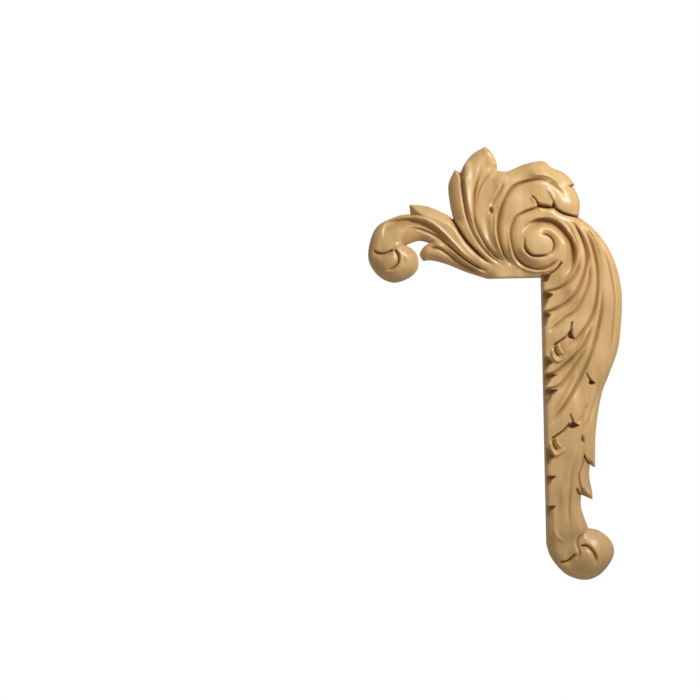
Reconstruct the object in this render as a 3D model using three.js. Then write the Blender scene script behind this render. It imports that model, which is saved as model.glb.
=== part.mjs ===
// Carved corner onlay: an acanthus scroll that turns a corner, cut from one piece of wood with a flat back.
// An arm runs left and ends in a bud, a leg hangs down and ends in a bud, and a volute with a leaf crest
// sits at the turn. X is to the right, Z is up, the carving faces -Y and the flat back lies at y = 0.
import * as THREE from 'three';

// Driving dimensions, in mm. Arm, leg and crest are measured from the inner corner at the turn.
const ARM_REACH = 81.06;
const LEG_WIDTH = 36.415;
const CREST_RISE = 61.41;
const LEG_DROP = 141.79;
const THICKNESS = 20.6375;

// The carving is drawn in mm from the inner corner, x to the right and z up, and its heights are above
// the back. The drawing is then brought to the dimensions above.
const GROUND = 6;
const RIM_WIDTH = 5;
const RIM_DROP = 3.2;
const LEVEL_SPREAD = 5.5;
const LEVEL_FLATNESS = 0.6;
const CREASE_SHARE = 0.5;

// The faces: their usual length, that along the cuts and along the outline, the rows of points beside
// each cut, and how near to the outline a point inside it may lie
const FACET = 1.8;
const CUT_FACET = 1.25;
const EDGE_FACET = 1.4;
const CUT_ROWS = [0, -1.3, 1.3];
const EDGE_GAP = 0.84;
const SPLIT_EDGE_GAP = 0.56;

// Domes: the volute's eye, behind which the part's origin lies, the two buds that end the arm and the
// leg, and the swelling of the crest's last lobe
const EYE = { x: -3, z: 14.8, radius: 9, rise: 0.5 };
const ARM_BUD = { x: -68, z: 8, radius: 10, rise: 3.8 };
const LEG_BUD = { x: 19.2, z: -130.6, radius: 11, rise: 4.4 };
const LAST_LOBE = { x: 10, z: 33, radius: 6, rise: 0.6 };

// The outline, clockwise from the inner corner. Each run is smooth, and the runs meet at corners.
const OUTLINE = [
  // straight underside of the arm, then its lower lobe
  [[0, 0], [-25, 0]],
  [[-25, 0], [-35, 3.5], [-44, 7.4], [-51, 9.3], [-54.8, 9.1]],
  [[-54.8, 9.1], [-56.4, 12], [-55, 15.2], [-51.5, 17.5]],
  // the arm's bud and the tab leaf behind it
  [[-51.5, 17.5], [-57, 18.7], [-63.3, 16.6]],
  [[-63.3, 16.6], [-58.3, 12.3], [-57.8, 5.2], [-62.5, 0.8], [-69.5, -0.8], [-76.3, 2.8],
    [-80.4, 10], [-79.5, 19], [-75.5, 26], [-66.5, 30.1], [-60.3, 30.8]],
  [[-60.3, 30.8], [-60.8, 35.3]],
  [[-60.8, 35.3], [-53, 34.3], [-45, 30.8], [-40.1, 27.7]],
  // the two leaves that stand up behind the volute
  [[-40.1, 27.7], [-41.8, 36], [-42.3, 45], [-39.7, 51.2]],
  [[-39.7, 51.2], [-36.9, 49.8]],
  [[-36.9, 49.8], [-34.5, 54.8], [-30.5, 59], [-25.3, 61.8]],
  [[-25.3, 61.8], [-22.8, 58.8], [-20.6, 54], [-20.3, 50.2]],
  // the crest
  [[-20.3, 50.2], [-15.5, 49.8], [-8, 52.7], [0.5, 54], [4.5, 51.1], [11, 48.2], [15.4, 42.8]],
  [[15.4, 42.8], [14.6, 42]],
  [[14.6, 42], [17.3, 35], [16.8, 27.9]],
  // the leg's outer side with its two leaf tips
  [[16.8, 27.9], [24, 21.8], [30, 13.5], [34.3, 3], [36.2, -11], [34.5, -32], [30, -45.3],
    [26, -56], [23, -72], [22.4, -82], [22.3, -89.8]],
  [[22.3, -89.8], [19.9, -88]],
  [[19.9, -88], [19.5, -94], [20.7, -101], [20.7, -104.7]],
  [[20.7, -104.7], [15.6, -102.4]],
  [[15.6, -102.4], [15.6, -109], [19, -119]],
  // the leg's bud, and the straight inner edge back up to the corner
  [[19, -119], [25.5, -120.8], [30, -126], [30, -132.5], [24, -140.2], [16.5, -142.7],
    [8, -139.8], [2, -132.5], [0, -126]],
  [[0, -126], [0, 0]],
];

// How high the surface lies in general, at places between which it is blended
const LEVELS = [
  // the arm and its bud
  [-74, 22, 13], [-69.6, 18.8, 12.8], [-60, 27, 12.8], [-58, 20.5, 12.6], [-50, 20, 13],
  [-36, 12, 13], [-30, 4, 11.5], [-15, 3, 11.5], [-69, 8, 10.5],
  // the leaves
  [-39, 44, 12], [-28, 58, 12.5], [-29, 46, 13.8], [-28, 25, 15],
  // the crest
  [-12, 50, 15], [-14, 44, 16], [-1, 52, 17.8], [2, 47, 17.6], [6, 38, 18], [11, 46, 15.6],
  [15, 34, 16.9], [-12, 33, 17],
  // the volute
  [-18, 18, 16.5], [-3, 15, 17.8], [9, 16, 17],
  // the leg and its bud
  [20, 20, 14.5], [31, 4, 14.8], [18, -4, 15.5], [3, -10, 12.8], [30, -30, 14], [16, -30, 15.5],
  [3, -42, 13], [22, -58, 13], [9, -62, 15.2], [16, -78, 14.5], [4, -90, 13.5], [13, -96, 14],
  [3, -112, 12.5], [12, -112, 13.5], [18, -131, 11], [6, -132, 10.5],
];

// The carver's cuts. Each is so deep along a path, reaches so far to the left and to the right of it, and
// fades in and out over a share of its length. Half the depth of a creased one is a narrow groove of the
// crease's width, and one with no crease is round.
const PARTING = { depth: 2.2, left: 3.4, right: 1.4, crease: 1.4, fade: [0.15, 0.15] };
const VEIN = { depth: 1.3, left: 1.6, right: 1.4, crease: 1.4, fade: [0.25, 0.25] };
const SET_IN = { depth: 3.6, left: 0.9, right: 3.4, crease: 1, fade: [0.1, 0.05] };
const SLIT = { depth: 2.6, left: 0.9, right: 0.9, crease: 0.9, fade: [0.3, 0] };
const CHANNEL = { depth: 3, left: 1, right: 5, crease: 0, fade: [0.15, 0.3] };
const FLUTE = { depth: 1, left: 2.4, right: 2.4, crease: 0, fade: [0.25, 0.3] };
// An arris is left standing above the surface, and is narrow; a roll is a broad one.
const ARRIS = { depth: -0.7, left: 1.3, right: 1.3, crease: 1.3, fade: [0.2, 0.25] };
const ROLL = { depth: -0.8, left: 2, right: 2, crease: 0, fade: [0.25, 0.25] };

const ARM = [
  { ...CHANNEL, left: 1.6, right: 4.8, fade: [0.3, 0.3], path: [[-72.6, 18], [-73, 22.5],
    [-70, 26.6], [-62, 27.9], [-55, 26.4], [-48, 22], [-42, 15.8], [-37, 11.3]] },
  { ...PARTING, depth: 3.2, left: 3, fade: [0.26, 0.15], path: [[-66.5, 22], [-60, 24.2], [-54, 22.8],
    [-48, 19.5], [-42, 14.2], [-36, 8.9], [-30, 5.2], [-25, 2.6]] },
  { ...ARRIS, depth: -0.5, path: [[-66, 29], [-55, 28.3], [-48, 24], [-41, 16.5], [-35, 10.3], [-27, 5]] },
  { ...ARRIS, fade: [0.35, 0.25], path: [[-51, 18.2], [-47, 17], [-40, 11], [-34, 6.4], [-27, 2.9]] },
  { ...PARTING, left: 1.6, right: 4, path: [[-54, 14.4], [-48.5, 14.6], [-44, 11.8], [-38, 7.2],
    [-28, 1.8]] },
  { ...VEIN, depth: 0.9, fade: [0, 0.5], path: [[-60.2, 31], [-57, 30.1], [-54.5, 28.8]] },
  { ...PARTING, depth: 4, left: 0.9, right: 2.6, fade: [0, 0.4], path: [[-41.4, 28.6], [-38.5, 23],
    [-35, 17.5], [-31, 13], [-27, 9.2], [-22, 5.2]] },
];

const ARM_BUD_CUTS = [
  { ...PARTING, left: 0.9, right: 3, crease: 0.7, path: [[-78.4, 14.4], [-76.5, 13], [-74, 12.5],
    [-71.2, 13.1], [-68.8, 14.7]] },
  { ...PARTING, left: 1.1, right: 3, fade: [0.1, 0.3], crease: 0.8, path: [[-69, 14.5], [-67.3, 12.7],
    [-66.6, 10], [-67.2, 7.7], [-69.5, 5.5], [-73.8, 4.3]] },
  { ...VEIN, depth: 0.8, left: 0.9, right: 0.9, fade: [0, 0], path: [[-69, 14.8], [-66, 16],
    [-63.4, 16.6]] },
  { ...VEIN, depth: 0.35, fade: [0.5, 0.5], path: [[-63.8, 11.2], [-64.2, 8.6], [-63.8, 5.5]] },
];

const LEAVES = [
  { ...VEIN, left: 1.8, fade: [0, 0.2], path: [[-36.9, 50.2], [-36.3, 40], [-34.9, 29], [-32, 20.5],
    [-27.5, 13.8], [-22.5, 8.6], [-17, 5]] },
  { ...ROLL, depth: -1.8, left: 4, right: 1.2, fade: [0.1, 0.4], path: [[-35, 57], [-35.6, 49], [-34.9, 40],
    [-33.4, 30], [-30.4, 20]] },
  { ...PARTING, depth: 1.9, left: 2.4, fade: [0.3, 0.1], path: [[-28.3, 53.5], [-29, 48.5], [-30.8, 42],
    [-31.7, 33], [-31.1, 25.5], [-28, 18.2], [-24, 12.2], [-18.3, 7]] },
  { ...ROLL, depth: -2, right: 5, fade: [0.2, 0.3], path: [[-24, 61.4], [-21.6, 57], [-20.2, 51]] },
  { ...PARTING, depth: 1, left: 0.9, right: 2.4, fade: [0.1, 0.5], path: [[-20.8, 50.2], [-24, 48.5],
    [-28, 43.5], [-30.2, 37], [-30.7, 31]] },
  { ...VEIN, path: [[-17.5, 44.5], [-20, 39.5], [-23.2, 34.8], [-23.8, 32.2]] },
  { ...ARRIS, depth: -0.4, path: [[-19.4, 44.4], [-21.8, 39.4], [-24.8, 34.6]] },
  { ...FLUTE, path: [[-26.2, 30], [-25.6, 22], [-24, 17], [-20.5, 10.5]] },
];

const CREST = [
  { ...PARTING, depth: 2.5, left: 2.6, fade: [0.35, 0.15], path: [[9.4, 36.6], [7.8, 40.2], [4.4, 42.8],
    [-4, 45.1], [-13.5, 42], [-19, 33], [-20.8, 22], [-18.4, 11.5], [-13.3, 4.6]] },
  { ...ARRIS, path: [[-21.6, 31], [-22.3, 21], [-20, 12.3], [-16, 6.6]] },
  { ...SET_IN, depth: 2.4, fade: [0.6, 0.05], path: [[-13.9, 26], [-12, 28.4], [-9, 30.1], [-5, 31.5],
    [-2, 32.4]] },
  { ...SET_IN, depth: 3.8, right: 2.4, fade: [0.05, 0.05], path: [[-2.8, 33.6], [-0.5, 32.8], [2, 32.2],
    [4.8, 32]] },
  { ...SET_IN, fade: [0.05, 0], path: [[4.6, 33], [6.2, 31.4], [9, 29.6], [12.5, 28.4], [17.4, 27.5]] },
  { ...SLIT, path: [[-5.8, 37.8], [-3.9, 36.7], [-2.5, 34.6]] },
  { ...ARRIS, depth: -0.5, path: [[-6, 36.9], [-4.6, 35.9], [-3.7, 34.2]] },
  { ...ARRIS, fade: [0.5, 0.05], path: [[1.4, 41.2], [2.6, 39.9], [3.8, 37.9], [5.2, 35.2]] },
  { ...ROLL, depth: -1.2, left: 3.6, right: 1.2, path: [[-6.5, 46.6], [-1.5, 47.3], [4, 45.7], [9, 42]] },
  { ...VEIN, depth: 1, path: [[9.8, 49.3], [11.6, 47], [12, 44.6]] },
  { ...SLIT, depth: 3, path: [[12.2, 42], [13.6, 42.1], [15.4, 42.8]] },
];

// The eye's groove winds out beside the wide channel, and a groove and a rim run round the coil.
const VOLUTE = [
  { ...PARTING, depth: 2.6, left: 2.8, right: 0.9, crease: 0.9, fade: [0.2, 0.4], path: [[-1.8, 19.6],
    [1.6, 19.3], [4.2, 17], [4.7, 13.6], [3.2, 10.8], [0, 9.6]] },
  { ...PARTING, depth: 3, left: 2, right: 0.9, fade: [0.3, 0.4], path: [[3.6, 11.4], [2, 10.2],
    [-1, 9.7], [-5.5, 10.1], [-8.2, 13], [-8.9, 16.4], [-8.6, 19.4]] },
  { ...CHANNEL, depth: 4, right: 4.6, fade: [0.25, 0.3], path: [[-9.4, 19], [-8.6, 22.4], [-5.5, 25.2],
    [0, 26.7], [6, 25.1], [11, 20], [13.9, 14], [14, 7.5], [12, 2.7], [8, -1.4]] },
  { ...ARRIS, depth: -0.5, path: [[-3, 23.7], [1, 24.1], [6, 21.8], [9.4, 17.2], [10.5, 11]] },
  { ...PARTING, left: 0.9, right: 3.4, fade: [0.08, 0.05], path: [[6.8, 7.8], [2, 4.3], [-3, 3.6],
    [-9, 6], [-13.3, 11.3], [-15, 18], [-14.9, 22.5], [-13.8, 26], [-12, 28.4], [-8, 30.5],
    [-3, 32.1]] },
  { ...ARRIS, path: [[7, 6.6], [3, 3.1], [-4, 2.3], [-10, 4.6], [-14, 9], [-15.9, 16], [-16, 24]] },
  { ...SLIT, depth: 2.4, fade: [0.1, 0.1], path: [[8.4, 6.8], [5.5, 3], [2.3, 1]] },
];

// The long flutes that sweep down the leg, from the crest to the tips on its inner edge
const LEG = [
  { ...ARRIS, depth: -1, path: [[10.3, 27.3], [14, 20.5], [16, 13.5], [14.6, 5.5], [10.2, -2], [3, -6.4]] },
  { ...PARTING, fade: [0.15, 0], path: [[12.6, 26], [16.8, 20.5], [19.6, 11], [18.9, 3], [14.8, -7.5],
    [8, -14], [0.5, -16.7]] },
  { ...ARRIS, depth: -1, path: [[13, 27], [18.3, 19.8], [21.2, 12], [21.7, 5]] },
  { ...PARTING, path: [[18.3, 23.8], [22.5, 14], [24.7, 1], [23.3, -14], [18.6, -24.3], [8.7, -35.2]] },
  { ...VEIN, depth: 1.3, path: [[21, 21.3], [23.5, 17.4]] },
  { ...ARRIS, depth: -0.5, path: [[22.6, 20.3], [25.6, 14], [26.6, 9]] },
  { ...VEIN, depth: 1, left: 1.2, path: [[24, 20.3], [28.8, 9], [31.9, -8], [31.2, -24], [28.6, -42]] },
  { ...PARTING, depth: 1.8, path: [[21.2, 6], [20.2, -4], [15, -15.3], [9, -19.8], [1, -26.5]] },
  { ...VEIN, depth: 1.8, left: 2, fade: [0.3, 0], path: [[16.7, 9], [15, 2], [9.5, -4.4], [0.5, -7.2]] },
  { ...ARRIS, path: [[14, -4.8], [8, -11.7], [2.5, -14.8]] },
  { ...ARRIS, depth: -0.5, path: [[18, -8.5], [13, -14.2], [7, -18.3], [2, -22.5]] },
  { ...PARTING, left: 2.6, fade: [0.25, 0.15], path: [[26, -3], [25.9, -17], [22.4, -32], [17, -45.5],
    [9.8, -58], [0.4, -70.5]] },
  { ...PARTING, depth: 2, fade: [0.2, 0], path: [[21.9, -22], [17, -33.3], [6, -44], [0.5, -45.8]] },
  { ...PARTING, depth: 1.7, left: 2.4, fade: [0.3, 0], path: [[20.3, -30.5], [14.5, -40.3], [7, -50.4],
    [0.5, -52.7]] },
  { ...ARRIS, path: [[20.2, -24], [13, -35.7], [2.5, -44.4]] },
  { ...ARRIS, path: [[15, -43], [9, -54], [3.5, -63]] },
  // the lower leaves and the stem
  { ...VEIN, depth: 0.9, left: 1.8, right: 1.8, path: [[24.8, -48], [23.6, -56], [20.3, -65],
    [16.8, -74]] },
  { ...VEIN, depth: 0.9, path: [[19, -59], [16.5, -65.5], [13.8, -69.4]] },
  { ...PARTING, depth: 0.9, left: 3, right: 1.6, fade: [0.3, 0.3], path: [[13.6, -81], [11.4, -90],
    [9.6, -104], [9.2, -113], [10, -119]] },
  { ...ROLL, depth: -0.5, path: [[13.8, -78], [10.8, -88], [7.4, -98], [6.6, -110]] },
  { ...CHANNEL, depth: 1.6, left: 3, right: 3, path: [[0, -108], [0, -127]] },
  // the slits that part the two tips on the outer side
  { ...SLIT, depth: 1.1, fade: [0.05, 0], path: [[17, -83.5], [16, -88], [14.4, -92.5], [14.4, -95.6],
    [15.3, -99], [17, -103.2]] },
  { ...SLIT, path: [[16.6, -82.8], [18, -86.2], [20, -88.2]] },
  { ...SLIT, path: [[13, -98.8], [14.4, -101.6], [15.8, -102.4]] },
  { ...ROLL, depth: -1.8, left: 2.6, fade: [0.5, 0], path: [[17.8, -99.4], [18.8, -102.6], [19.8, -105]] },
  // the slits above the eyelets
  { ...SLIT, path: [[12.8, -20.7], [12.2, -23], [12, -25.6]] },
  { ...SLIT, path: [[18.8, -45], [19.4, -46.8], [21, -49]] },
  { ...SLIT, path: [[10.7, -63.8], [11.3, -65.8], [12.5, -68.6]] },
];

const LEG_BUD_CUTS = [
  { ...PARTING, left: 0.9, right: 2.8, crease: 0.7, path: [[5, -133.3], [7, -133.8], [9, -133.1],
    [10.9, -131.4], [12.4, -129.4]] },
  { ...VEIN, left: 1.2, right: 1, path: [[11, -133], [13.4, -131], [13.9, -128.6], [13, -125.2],
    [14.3, -122.2], [17.4, -120.1]] },
  { ...PARTING, depth: 2.4, left: 1.5, right: 3, fade: [0.1, 0.4], crease: 0.9, path: [[14, -126.6],
    [17, -126], [19.4, -127.8], [21.2, -131], [21.3, -133.5], [20.4, -136]] },
  { ...ARRIS, depth: -0.5, path: [[2.8, -118], [3.8, -121.5], [7.5, -124.5]] },
];

// Leaves that curl over at the inner edge: a raised rim, a crevice above it and a hollow in the curl
const CURLS = [{ x: 0, z: 0 }, { x: -1.8, z: -43.6 }];
const CURL = [
  { ...SET_IN, depth: 2.4, right: 1.6, fade: [0.1, 0], path: [[3.6, -32.4], [6.5, -30.4], [9.6, -28.2],
    [12, -25.4]] },
  { ...SLIT, left: 1.4, fade: [0.1, 0.2], path: [[4.6, -32.2], [4.8, -35.2], [6.6, -37.6]] },
  { ...ARRIS, depth: -1.3, left: 0.9, right: 1, path: [[5.8, -31], [6.2, -33.8], [8.4, -36.6]] },
  { ...ARRIS, depth: -1.3, path: [[3.3, -33], [3.3, -37], [5.4, -39.5], [8, -38.8], [10, -36]] },
];

// Tips along the inner edge: under each one the wood is cut down to the ground in a small wedge, which
// reaches in under the tip as that falls, and drops so far
const TIPS = [
  { z: -7, reach: 3.9, fall: 1.4, drop: 7 },
  { z: -16.5, reach: 2.8, fall: 1.2, drop: 6.5 },
  { z: -37, reach: 3.4, fall: 3, drop: 7 },
  { z: -45.6, reach: 5, fall: 0.3, drop: 5.4 },
  { z: -52.7, reach: 5, fall: 0.4, drop: 7 },
  { z: -79.6, reach: 3.2, fall: 4.4, drop: 8.6 },
  { z: -93.3, reach: 3.4, fall: 0.2, drop: 4.7 },
  { z: -107.4, reach: 3.2, fall: 0, drop: 5.6 },
];

// The other pits, each with its depth, the width of its wall and its edge
const EYELET = { depth: 4.5, wall: 0.6 };
const NOTCH = { depth: 3.6, wall: 0.6 };
const PITS = [
  // at the inner corner
  { ...EYELET, edge: [[-1, 0.9], [2.8, 0.9], [1.2, -2.2], [-0.5, -2.4]] },
  // the drilled eye between two leaves, and the gouge mark low on the leg
  { ...NOTCH, edge: [[-24.4, 32.4], [-23.4, 32.6], [-22.9, 31.2], [-23.3, 30.1], [-24.2, 30.6]] },
  { ...NOTCH, edge: [[16, -74.6], [16.9, -76], [16.6, -78], [15.6, -77.5]] },
  // under the crest's tips
  { ...NOTCH, edge: [[-2.7, 35], [-1.4, 33.9], [1, 33.3], [3.3, 32.8], [3.3, 31.6], [0, 31.9],
    [-2.3, 32.2]] },
  { ...NOTCH, edge: [[4.9, 34.6], [4.1, 32.3], [5.8, 32.6]] },
  { ...NOTCH, edge: [[13.4, 42.1], [14.6, 42.9], [15.8, 43], [15, 41.6]] },
  // the eyelets, where two of the leg's lobes part
  { ...EYELET, edge: [[11.8, -25.2], [10.4, -28], [11.4, -29], [13.4, -29.2], [12.4, -27.2]] },
  { ...EYELET, edge: [[20.6, -48.6], [20.1, -50.2], [21.2, -50.8], [22.6, -50.1], [21.6, -49.2]] },
  { ...EYELET, edge: [[12.1, -67.8], [11.3, -69], [9.9, -70.5], [12, -71], [14.6, -69.7], [13.1, -68.9]] },
];

const clamp = (t) => Math.min(Math.max(t, 0), 1);
const ease = (t) => clamp(t) ** 2 * (3 - 2 * clamp(t));
const moved = (places, by) => places.map(([x, z]) => [x + by.x, z + by.z]);

// A few places become a smooth line of points, evenly spaced
function smoothLine(places, step) {
  const curve = new THREE.SplineCurve(places.map(([x, z]) => new THREE.Vector2(x, z)));
  return curve.getSpacedPoints(Math.max(1, Math.ceil(curve.getLength() / step)));
}

// The place on a line nearest to a point: how far off it is, on which side, and how far along the line
function nearest(line, x, z) {
  const found = { far: Infinity, side: 1, along: 0 };
  for (let i = 0; i + 1 < line.length; i++) {
    const dx = line[i + 1].x - line[i].x;
    const dz = line[i + 1].y - line[i].y;
    const t = clamp(((x - line[i].x) * dx + (z - line[i].y) * dz) / (dx * dx + dz * dz || 1));
    const ex = x - line[i].x - t * dx;
    const ez = z - line[i].y - t * dz;
    const far = Math.hypot(ex, ez);
    if (far < found.far) {
      found.far = far;
      found.side = dx * ez < dz * ex ? -1 : 1;
      found.along = (i + t) / (line.length - 1);
    }
  }
  return found;
}

function isInside(loop, x, z) {
  let inside = false;
  for (let i = 0, j = loop.length - 1; i < loop.length; j = i++) {
    const a = loop[i];
    const b = loop[j];
    if (a.y > z !== b.y > z && x < (b.x - a.x) * (z - a.y) / (b.y - a.y) + a.x) inside = !inside;
  }
  return inside;
}

// Whether a point is near enough to a line or an edge to be touched by it
function boxOf(line, reach) {
  const box = new THREE.Box2().setFromPoints(line).expandByScalar(reach);
  return (x, z) => x > box.min.x && x < box.max.x && z > box.min.y && z < box.max.y;
}

// All cuts and pits, with their lines worked out
const cuts = [
  ...ARM, ...ARM_BUD_CUTS, ...LEAVES, ...CREST, ...VOLUTE, ...LEG, ...LEG_BUD_CUTS,
  ...CURLS.flatMap((by) => CURL.map((cut) => ({ ...cut, path: moved(cut.path, by) }))),
].map((cut) => {
  const line = smoothLine(cut.path, 1);
  return { ...cut, line, touches: boxOf(line, Math.max(cut.left, cut.right)) };
});

// The edge of the wedge under a tip
function wedge({ z, reach, fall, drop }) {
  const inner = z - fall;
  const foot = z - drop;
  return {
    ...EYELET,
    edge: [[-0.5, z], [reach / 2, z - 0.35 * fall], [reach, inner],
      [0.5 * reach, inner + 0.35 * (foot - inner)], [0.1, foot], [-0.5, foot]],
  };
}

const pits = [...PITS, ...TIPS.map(wedge)].map((pit) => {
  const edge = pit.edge.map(([x, z]) => new THREE.Vector2(x, z));
  return { ...pit, edge, touches: boxOf(edge, pit.wall) };
});

function cutDepth(cut, x, z) {
  const { far, side, along } = nearest(cut.line, x, z);
  const reach = side > 0 ? cut.left : cut.right;
  const near = clamp(1 - far / reach);
  const fadeIn = cut.fade[0] > 0 ? ease(along / cut.fade[0]) : 1;
  const fadeOut = cut.fade[1] > 0 ? ease((1 - along) / cut.fade[1]) : 1;
  const creased = () => THREE.MathUtils.lerp(
    near ** 1.7, ease(1 - far / Math.min(reach, cut.crease)), CREASE_SHARE);
  return cut.depth * (cut.crease > 0 ? creased() : ease(near)) * fadeIn * fadeOut;
}

function pitDepth(pit, x, z) {
  const { far } = nearest([...pit.edge, pit.edge[0]], x, z);
  const inward = isInside(pit.edge, x, z) ? far : -far;
  return pit.depth * ease(0.5 + 0.5 * inward / pit.wall);
}

// The rim is rolled over all along the scroll, but not at the two straight edges.
const rolledRim = OUTLINE.slice(1, -1).flatMap((run) => smoothLine(run, 1));

// Height of the carving above the back. Where cuts run together the deeper one counts most.
function carvedHeight(x, z) {
  let weights = 0;
  let height = 0;
  for (const [lx, lz, level] of LEVELS) {
    const weight = 1 / (((x - lx) ** 2 + (z - lz) ** 2) / LEVEL_SPREAD ** 2 + LEVEL_FLATNESS) ** 2;
    weights += weight;
    height += weight * level;
  }
  height /= weights;
  for (const dome of [EYE, ARM_BUD, LEG_BUD, LAST_LOBE]) {
    const out = Math.hypot(x - dome.x, z - dome.z) / dome.radius;
    height += dome.rise * clamp(1 - out ** 2) ** 1.5;
  }
  height -= RIM_DROP * clamp(1 - nearest(rolledRim, x, z).far / RIM_WIDTH) ** 2;
  let sunk = 0;
  let raised = 0;
  for (const cut of cuts) {
    if (!cut.touches(x, z)) continue;
    const depth = cutDepth(cut, x, z);
    if (depth > 0) sunk += depth ** 3;
    else raised -= depth ** 3;
  }
  for (const pit of pits) {
    if (pit.touches(x, z)) sunk += pitDepth(pit, x, z) ** 3;
  }
  return Math.max(height - Math.cbrt(sunk) + Math.cbrt(raised), GROUND);
}

// Delaunay triangles of points in the plane. The points are taken from left to right, and a triangle
// whose circle lies wholly to the left of the next point is finished.
function triangulate(points) {
  const rightward = (a, b) => points[a].x - points[b].x || points[a].y - points[b].y;
  const order = points.map((_, i) => i).sort(rightward);
  const box = new THREE.Box2().setFromPoints(points);
  const middle = box.getCenter(new THREE.Vector2());
  const span = box.getSize(new THREE.Vector2()).length() * 20;
  const all = [...points, ...[90, 210, 330].map((turn) => {
    const angle = THREE.MathUtils.degToRad(turn);
    return new THREE.Vector2(middle.x + span * Math.cos(angle), middle.y + span * Math.sin(angle));
  })];
  const circle = (a, b, c) => {
    const bx = all[b].x - all[a].x;
    const by = all[b].y - all[a].y;
    const cx = all[c].x - all[a].x;
    const cy = all[c].y - all[a].y;
    const d = 2 * (bx * cy - by * cx);
    const ux = (cy * (bx * bx + by * by) - by * (cx * cx + cy * cy)) / d;
    const uy = (bx * (cx * cx + cy * cy) - cx * (bx * bx + by * by)) / d;
    return { a, b, c, x: all[a].x + ux, y: all[a].y + uy, rr: ux * ux + uy * uy };
  };
  const n = points.length;
  let open = [circle(n, n + 1, n + 2)];
  const done = [];
  for (const i of order) {
    const p = all[i];
    const kept = [];
    const hole = new Map();
    for (const t of open) {
      const dx = p.x - t.x;
      if (dx > 0 && dx * dx > t.rr) {
        done.push(t);
      } else if (dx * dx + (p.y - t.y) ** 2 > t.rr) {
        kept.push(t);
      } else {
        for (const [u, v] of [[t.a, t.b], [t.b, t.c], [t.c, t.a]]) {
          if (!hole.delete(`${v},${u}`)) hole.set(`${u},${v}`, [u, v]);
        }
      }
    }
    for (const [u, v] of hole.values()) kept.push(circle(u, v, i));
    open = kept;
  }
  return [...done, ...open].map(({ a, b, c }) => [a, b, c]).filter((t) => Math.max(...t) < n);
}

// The edges of a loop, made of the first points, that a triangulation doesn't follow
function missedEdges(triangles, size) {
  const edges = new Set(triangles.flatMap(([a, b, c]) => [`${a},${b}`, `${b},${c}`, `${c},${a}`]));
  const missed = [];
  for (let i = 0; i < size; i++) {
    const j = (i + 1) % size;
    if (!edges.has(`${i},${j}`) && !edges.has(`${j},${i}`)) missed.push(i);
  }
  return missed;
}

// The points of a line, moved out to its left, or for a negative offset to its right
function beside(line, offset) {
  return line.map((p, i) => {
    const way = line[Math.min(i + 1, line.length - 1)].clone().sub(line[Math.max(i - 1, 0)]).normalize();
    return new THREE.Vector2(p.x - offset * way.y, p.y + offset * way.x);
  });
}

// Points for the faces: in rows along the cuts first, then an even field between them, all clear of the
// outline
function fieldPoints(loop) {
  const chosen = [];
  const closed = [...loop, loop[0]];
  const free = (x, z, gap) => isInside(loop, x, z) && nearest(closed, x, z).far > EDGE_GAP
    && chosen.every((p) => (p.x - x) ** 2 + (p.y - z) ** 2 > gap * gap);
  for (const row of CUT_ROWS) {
    for (const cut of cuts) {
      for (const { x, y } of beside(smoothLine(cut.path, CUT_FACET), row)) {
        if (free(x, y, 0.75 * CUT_FACET)) chosen.push(new THREE.Vector2(x, y));
      }
    }
  }
  const box = new THREE.Box2().setFromPoints(loop);
  const row = FACET * Math.sqrt(0.75);
  for (let k = 0; box.min.y + k * row < box.max.y; k++) {
    const z = box.min.y + k * row;
    for (let x = box.min.x + (k % 2) * FACET / 2; x < box.max.x; x += FACET) {
      if (free(x, z, 0.65 * FACET)) chosen.push(new THREE.Vector2(x, z));
    }
  }
  return chosen;
}

// The outline's points, split further wherever a triangulation would cut across it
let loop = OUTLINE.flatMap((run) => smoothLine(run, EDGE_FACET).slice(0, -1)).reverse();
let field = fieldPoints(loop);
let front = triangulate([...loop, ...field]);
let back = triangulate(loop);
for (;;) {
  const missed = new Set([...missedEdges(front, loop.length), ...missedEdges(back, loop.length)]);
  if (missed.size === 0) break;
  loop = loop.flatMap((p, i) => {
    const next = loop[(i + 1) % loop.length];
    return missed.has(i) ? [p, p.clone().add(next).multiplyScalar(0.5)] : [p];
  });
  field = field.filter((p) => nearest([...loop, loop[0]], p.x, p.y).far > SPLIT_EDGE_GAP);
  front = triangulate([...loop, ...field]);
  back = triangulate(loop);
}

// The solid: the carved front, the flat back, and upright walls between them along the outline
const plan = [...loop, ...field];
const within = ([a, b, c]) => isInside(loop, (plan[a].x + plan[b].x + plan[c].x) / 3,
  (plan[a].y + plan[b].y + plan[c].y) / 3);
const heights = plan.map((p) => carvedHeight(p.x, p.y));
const drawn = new THREE.Box2().setFromPoints(loop);
const acrossReal = (x) => x * (x < 0 ? ARM_REACH / -drawn.min.x : LEG_WIDTH / drawn.max.x);
const upReal = (z) => z * (z < 0 ? LEG_DROP / -drawn.min.y : CREST_RISE / drawn.max.y);
const outward = THICKNESS / Math.max(...heights);
const place = (p, height) => [
  acrossReal(p.x) - acrossReal(EYE.x), -height * outward, upReal(p.y) - upReal(EYE.z),
];
const positions = [
  ...plan.flatMap((p, i) => place(p, heights[i])),
  ...loop.flatMap((p) => place(p, 0)),
];
const behind = (i) => plan.length + i;
const faces = [
  ...front.filter(within),
  ...back.filter(within).map(([a, b, c]) => [behind(a), behind(c), behind(b)]),
  ...loop.flatMap((_, i) => {
    const j = (i + 1) % loop.length;
    return [[i, behind(i), behind(j)], [i, behind(j), j]];
  }),
];

const wood = new THREE.MeshStandardMaterial({ color: 0xc9a273, roughness: 0.42, metalness: 0 });
const geometry = new THREE.BufferGeometry();
geometry.setAttribute('position', new THREE.Float32BufferAttribute(positions, 3));
geometry.setIndex(faces.flat());
geometry.computeVertexNormals();
const carving = new THREE.Mesh(geometry, wood);
carving.name = 'corner_onlay';

const onlay = new THREE.Group();
onlay.add(carving);
export default onlay;
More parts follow.
